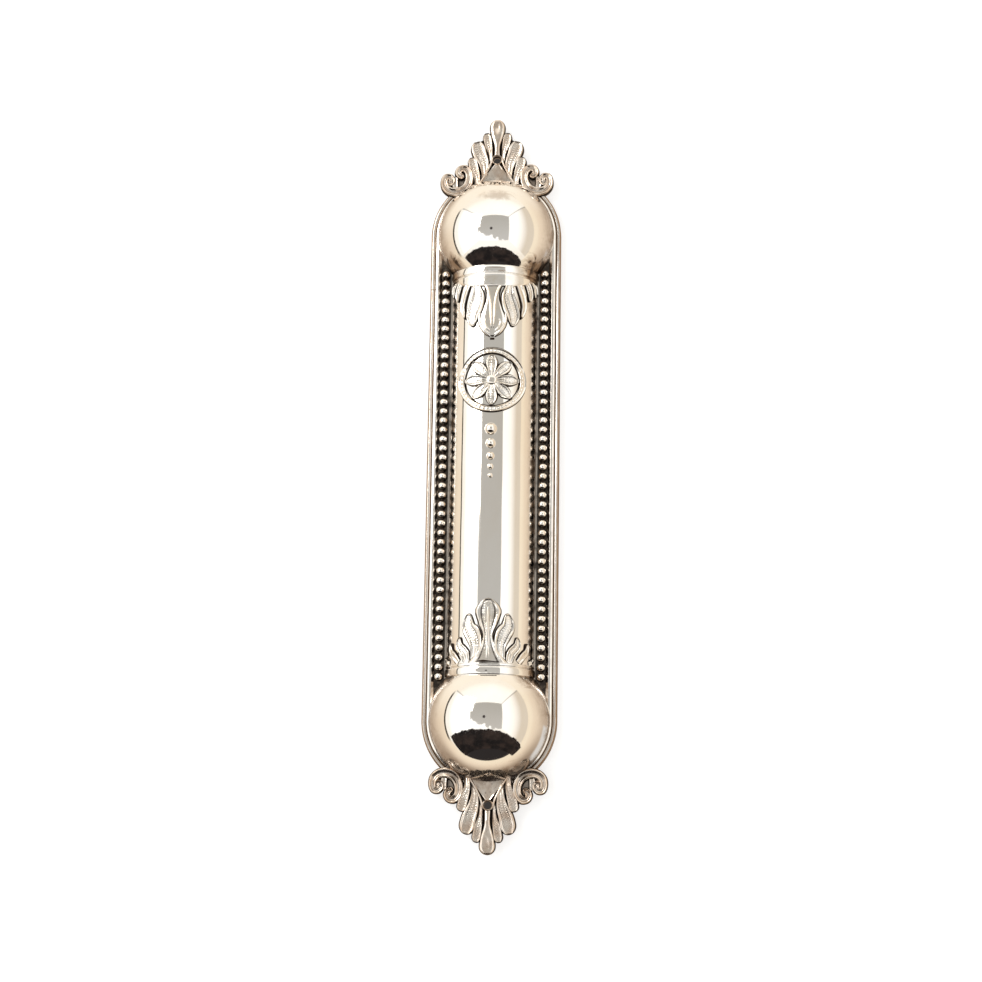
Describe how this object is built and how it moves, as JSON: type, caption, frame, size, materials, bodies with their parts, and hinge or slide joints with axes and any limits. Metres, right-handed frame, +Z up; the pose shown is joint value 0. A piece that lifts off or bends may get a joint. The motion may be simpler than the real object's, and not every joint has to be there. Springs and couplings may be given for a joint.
{
  "type": "mezuzah case",
  "caption": "Wall-mounted silver mezuzah case: half-round tube between two domes on a rimmed back plate, leaf finials with nail holes, sliding back cover and parchment scroll.",
  "frame": {"origin": "on the wall plane, at the middle of the case's back", "axes": "+Z up along the length, +X across the width, the front faces -Y and +Y points into the wall"},
  "size_m": [0.0324, 0.0148, 0.1829],
  "materials": {
    "polished_silver": "polished sterling silver, lightly worn",
    "cast_silver": "cast silver, polished high spots and darkened recesses",
    "plate_silver": "oxidised silver sheet, worn on the edges",
    "sheet_silver": "brushed silver sheet with fine slide scratches",
    "parchment": "cream animal parchment, slightly mottled",
    "clear_film": "thin clear film with a soft gloss"
  },
  "bodies": {
    "case": {"base_plate": "plate_silver", "rim_moulding": "polished_silver", "left_bead_strip": "polished_silver", "right_bead_strip": "polished_silver", "top_finial": "cast_silver", "bottom_finial": "cast_silver", "tube_shell": "polished_silver", "upper_dome": "polished_silver", "lower_dome": "polished_silver", "upper_collar": "polished_silver", "lower_collar": "polished_silver", "upper_leaf_wreath": "cast_silver", "lower_leaf_wreath": "cast_silver", "medallion": "cast_silver", "drop_beads": "polished_silver", "left_guide_rail": "plate_silver", "right_guide_rail": "plate_silver"},
    "cover": {"rear_cover": "sheet_silver", "cover_grip": "sheet_silver"},
    "scroll": {"parchment_scroll": "parchment", "scroll_sleeve": "clear_film"}
  },
  "joints": [
    {"name": "cover_slide", "type": "slide", "parent": "case", "child": "cover", "axis": [0, 0, 1], "range_m": [0, 0.13]},
    {"name": "scroll_float", "type": "slide", "parent": "case", "child": "scroll", "axis": [0, 0, 1], "range_m": [0, 0.009]}
  ]
}
